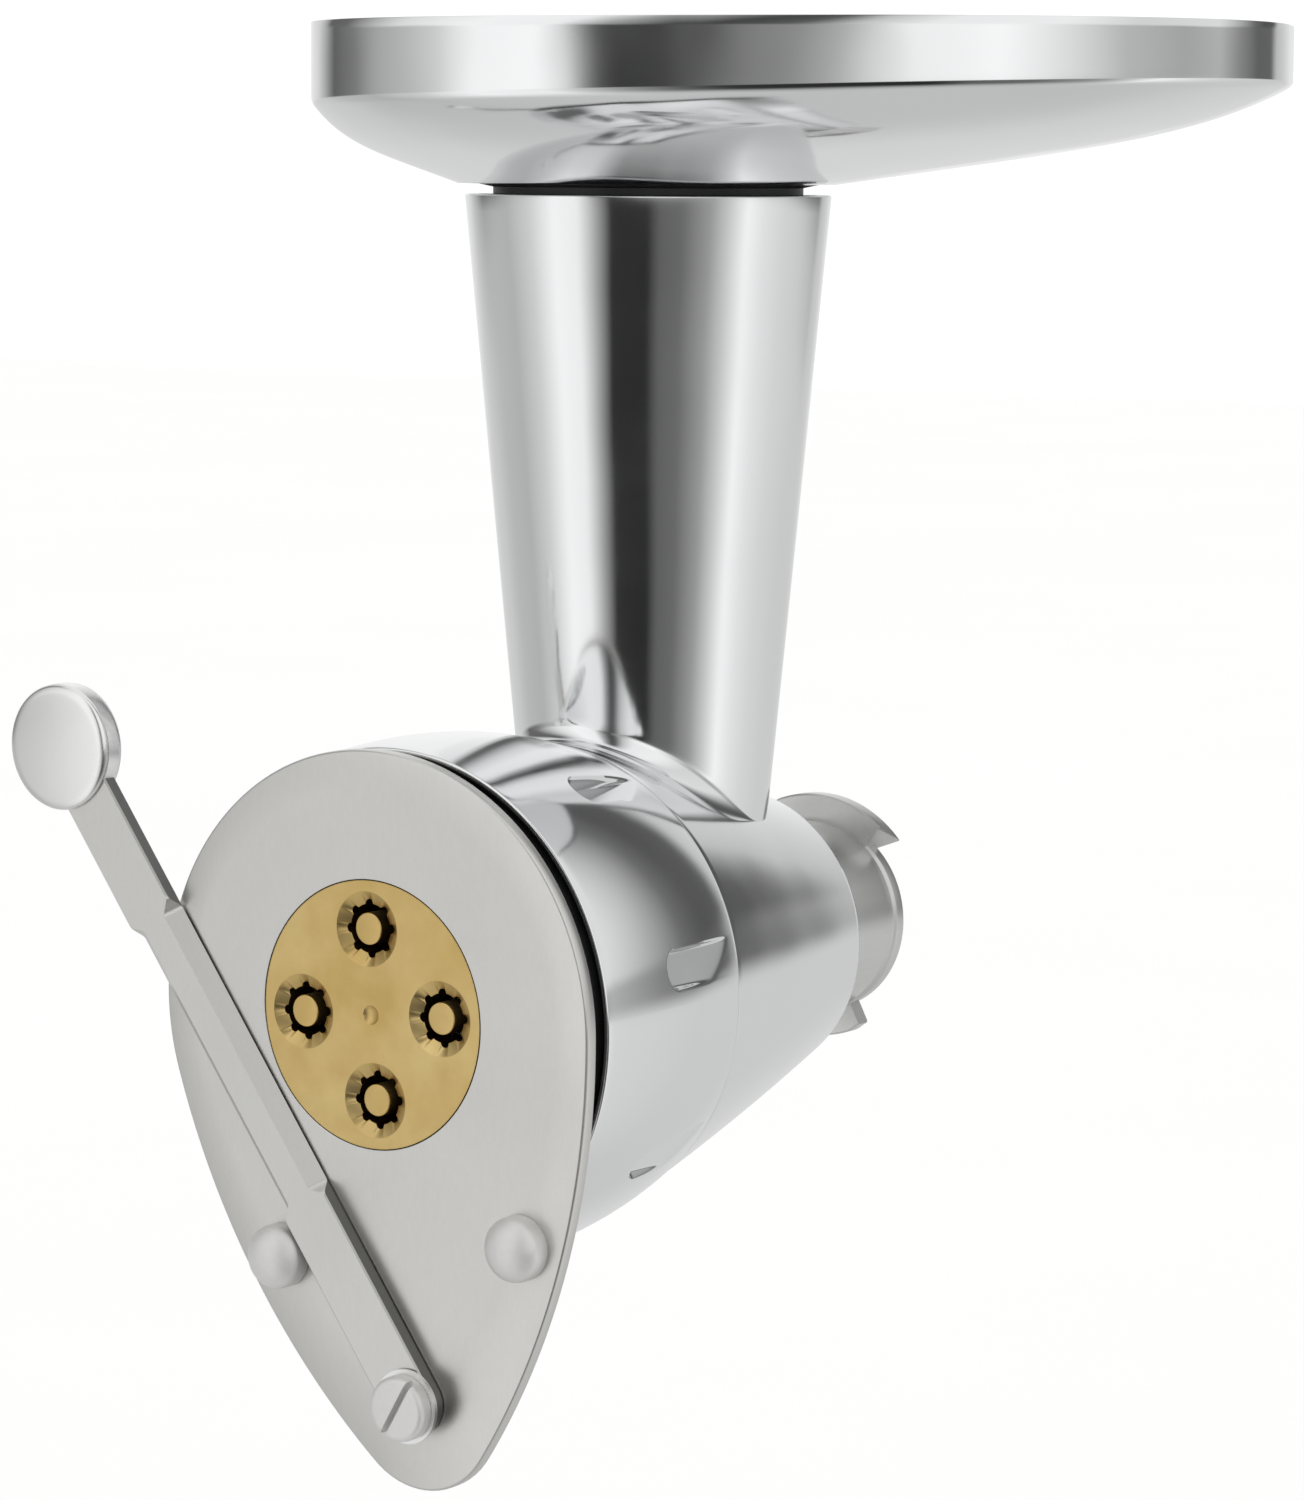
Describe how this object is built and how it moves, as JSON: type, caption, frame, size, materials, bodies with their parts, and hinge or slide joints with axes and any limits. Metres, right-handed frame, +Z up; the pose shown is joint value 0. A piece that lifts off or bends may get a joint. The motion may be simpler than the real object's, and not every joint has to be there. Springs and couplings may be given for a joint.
{
  "type": "meat grinder and pasta extruder head",
  "caption": "Kitchen-machine grinder head with oval tray, tapered feed tube, ring nut, brass pasta die, swinging cutter lever and bayonet drive hub.",
  "frame": {"origin": "centre of the drive hub's rear face, on the barrel axis", "axes": "+Y along the barrel axis, out of the hub's rear; -Y towards the die; +Z up the feed tube"},
  "size_m": [0.1785, 0.1597, 0.2341],
  "materials": {
    "polished_casting": "mirror polished",
    "polished_sheet": "mirror polished",
    "satin_aluminium": "satin",
    "satin_steel": "fine satin",
    "bright_steel": "polished",
    "die_brass": "fine turned",
    "bronze": "machined",
    "black_plastic": "matte",
    "dark_plastic": "matte",
    "cream_plastic": "satin",
    "rubber": "matte"
  },
  "bodies": {
    "barrel": {"barrel_housing": "polished_casting", "feed_tube": "polished_casting", "hub_collar": "satin_aluminium", "rear_bush": "bronze", "shaft_seal": "rubber", "key_pin": "bright_steel"},
    "worm": {"worm_screw": "cream_plastic", "drive_shaft": "bright_steel", "worm_spigot": "bright_steel", "thrust_washer": "bronze"},
    "die": {"die_plate": "die_brass", "die_mandrels": "die_brass", "die_bush": "cream_plastic"},
    "nut": {"ring_nut": "polished_casting"},
    "cutter": {"cutter_plate": "satin_steel", "carrier_ring": "black_plastic", "carrier_screws": "bright_steel", "stop_rivets": "bright_steel", "pivot_screw": "bright_steel", "pivot_washer": "bright_steel", "spring_washer": "bright_steel", "pivot_nut": "bright_steel"},
    "lever": {"cutter_lever": "satin_steel", "lever_knob": "bright_steel", "knob_rivet": "bright_steel"},
    "tray_ring": {"spigot_ring": "rubber"},
    "tray": {"tray_pan": "polished_sheet", "tray_spigot": "dark_plastic"}
  },
  "joints": [
    {"name": "worm_turn", "type": "hinge", "parent": "barrel", "child": "worm", "pos_m": [0, -0.06, 0], "axis": [0, 1, 0], "continuous": true},
    {"name": "nut_travel", "type": "slide", "parent": "barrel", "child": "die", "axis": [0, -1, 0], "range_m": [0, 0.0121]},
    {"name": "nut_turn", "type": "hinge", "parent": "die", "child": "nut", "pos_m": [0, -0.1, 0], "axis": [0, -1, 0], "range_deg": [0, 1080]},
    {"name": "cutter_turn", "type": "hinge", "parent": "nut", "child": "cutter", "pos_m": [0, -0.13, 0], "axis": [0, -1, 0], "continuous": true},
    {"name": "lever_swing", "type": "hinge", "parent": "cutter", "child": "lever", "pos_m": [0.00976, -0.1328, -0.06163], "axis": [0, 1, 0], "range_deg": [0, 53.8]},
    {"name": "tray_lift", "type": "slide", "parent": "barrel", "child": "tray_ring", "axis": [0, 0, 1], "range_m": [0, 0.022]},
    {"name": "tray_turn", "type": "hinge", "parent": "tray_ring", "child": "tray", "pos_m": [0, -0.0566, 0.117], "axis": [0, 0, 1], "continuous": true}
  ],
  "couplings": [
    {"joint": "nut_travel", "follows": "nut_turn", "m_per_rad": 0.00063662}
  ]
}
